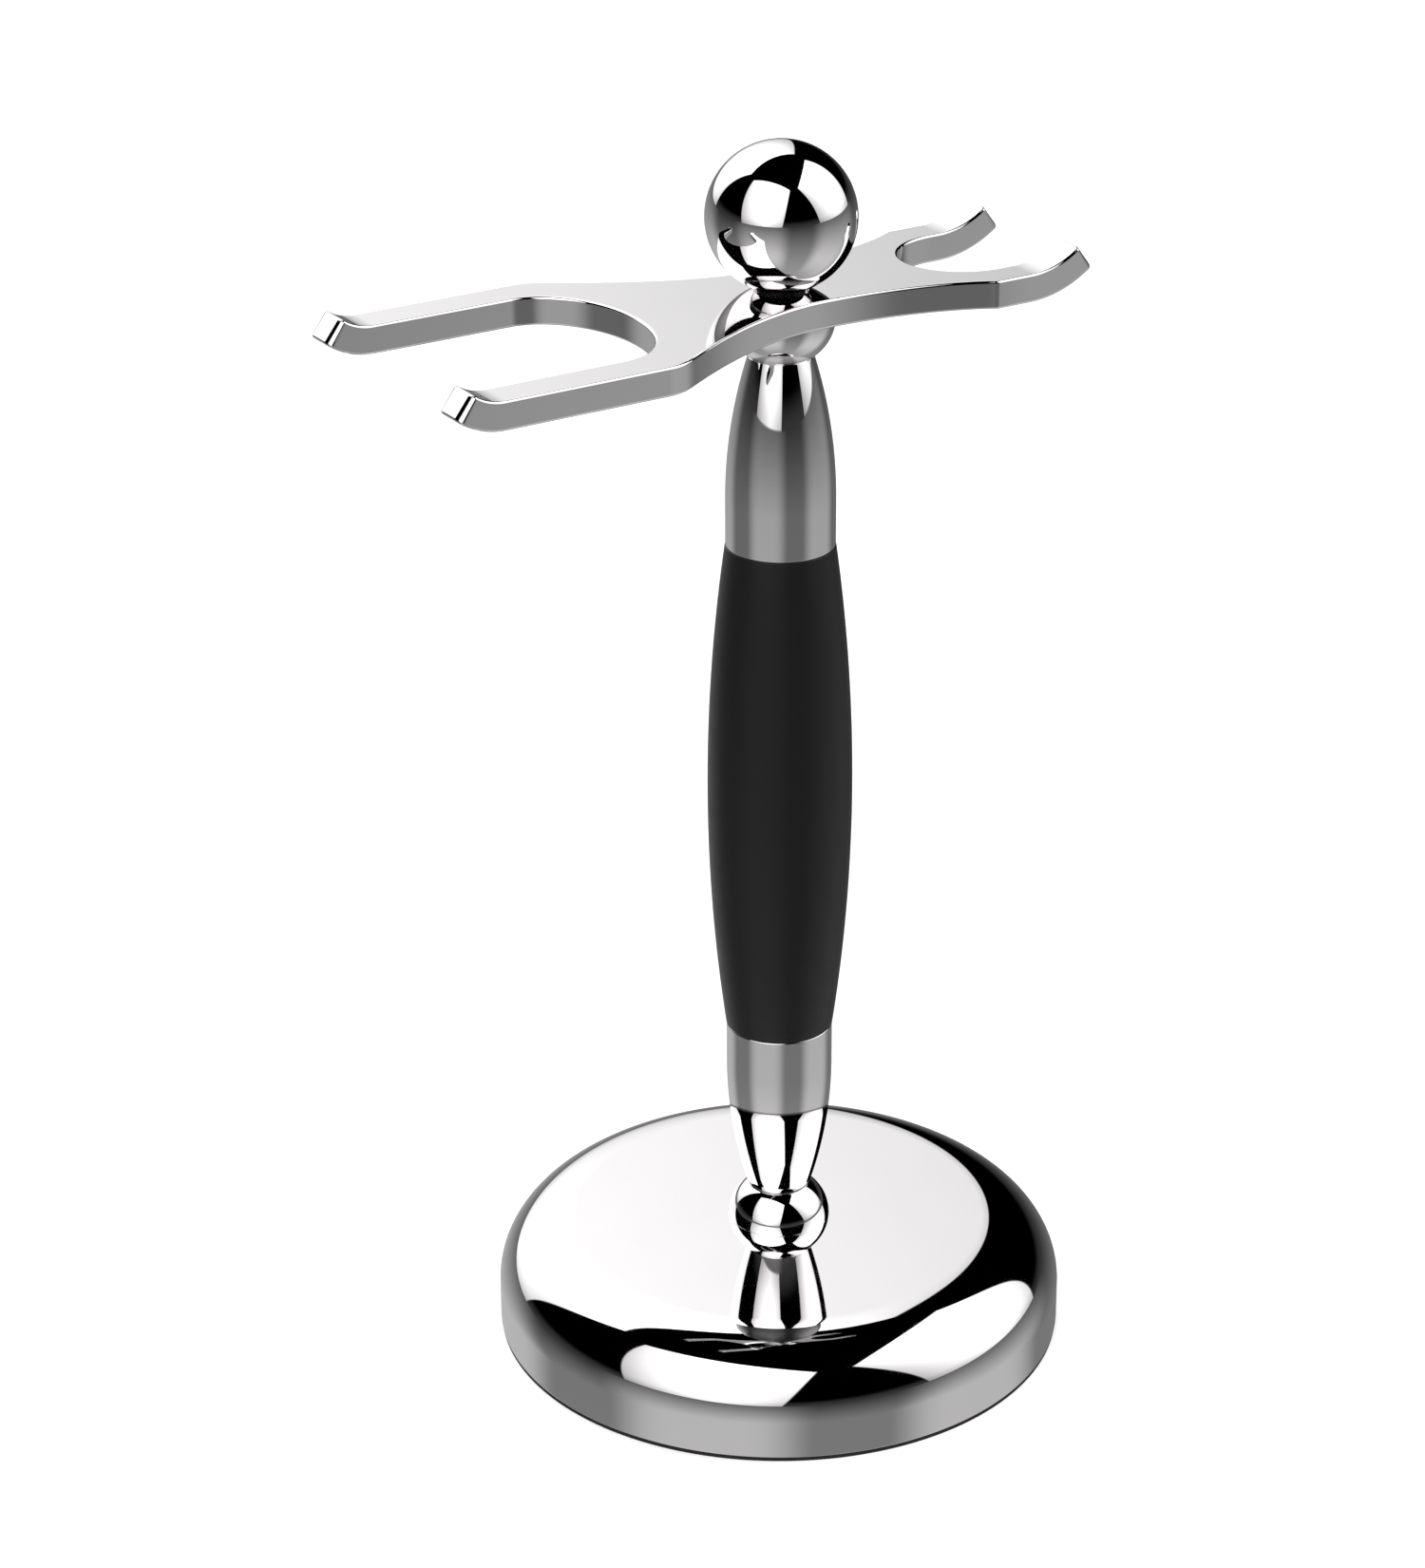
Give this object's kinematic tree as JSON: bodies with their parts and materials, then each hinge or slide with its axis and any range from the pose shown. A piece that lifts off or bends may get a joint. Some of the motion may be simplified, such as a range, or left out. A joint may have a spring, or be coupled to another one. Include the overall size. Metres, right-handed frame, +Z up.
{
  "type": "razor and brush stand",
  "caption": "Free-standing stand on a weighted round base: a turned stem with a swelling black grip carries a double-ended fork plate for a shaving brush and a razor under a ball finial.",
  "frame": {"origin": "on the table, under the stem axis, at the centre of the pad's underside", "axes": "+Z up along the stem; +X along the fork plate to the narrow razor fork, so the wide brush fork points to -X; +Y completes the right-handed frame"},
  "size_m": [0.0866, 0.07, 0.1514],
  "materials": {
    "chrome": "mirror polished chrome plate",
    "steel": "zinc plated steel",
    "ballast_iron": "raw casting",
    "brass": "drawn tube",
    "black_resin": "polished cast resin",
    "black_nylon": "matt",
    "foam_rubber": "matt closed-cell foam"
  },
  "bodies": {
    "stand": {"base_pad": "foam_rubber", "base_cover": "steel", "base_weight": "ballast_iron", "base_shell": "chrome", "base_nut": "steel", "base_spring_washer": "steel", "base_flat_washer": "steel", "tie_rod": "steel", "lower_dome_collar": "chrome", "lower_ferrule": "chrome", "grip_core_tube": "brass", "grip": "black_resin", "upper_ferrule": "chrome", "upper_dome_collar": "chrome"},
    "fork": {"fork_plate": "chrome"},
    "finial_seat": {"finial_washer": "black_nylon"},
    "finial": {"ball_finial": "chrome"}
  },
  "joints": [
    {"name": "fork_swivel", "type": "hinge", "parent": "stand", "child": "fork", "pos_m": [0, 0, 0.1327], "axis": [0, 0, 1], "continuous": true},
    {"name": "finial_lift", "type": "slide", "parent": "stand", "child": "finial_seat", "axis": [0, 0, 1], "range_m": [0, 0.007]},
    {"name": "finial_turn", "type": "hinge", "parent": "finial_seat", "child": "finial", "pos_m": [0, 0, 0.1427], "axis": [0, 0, 1], "range_deg": [0, 3601]}
  ],
  "couplings": [
    {"joint": "finial_turn", "follows": "finial_lift", "rad_per_m": 8976}
  ]
}
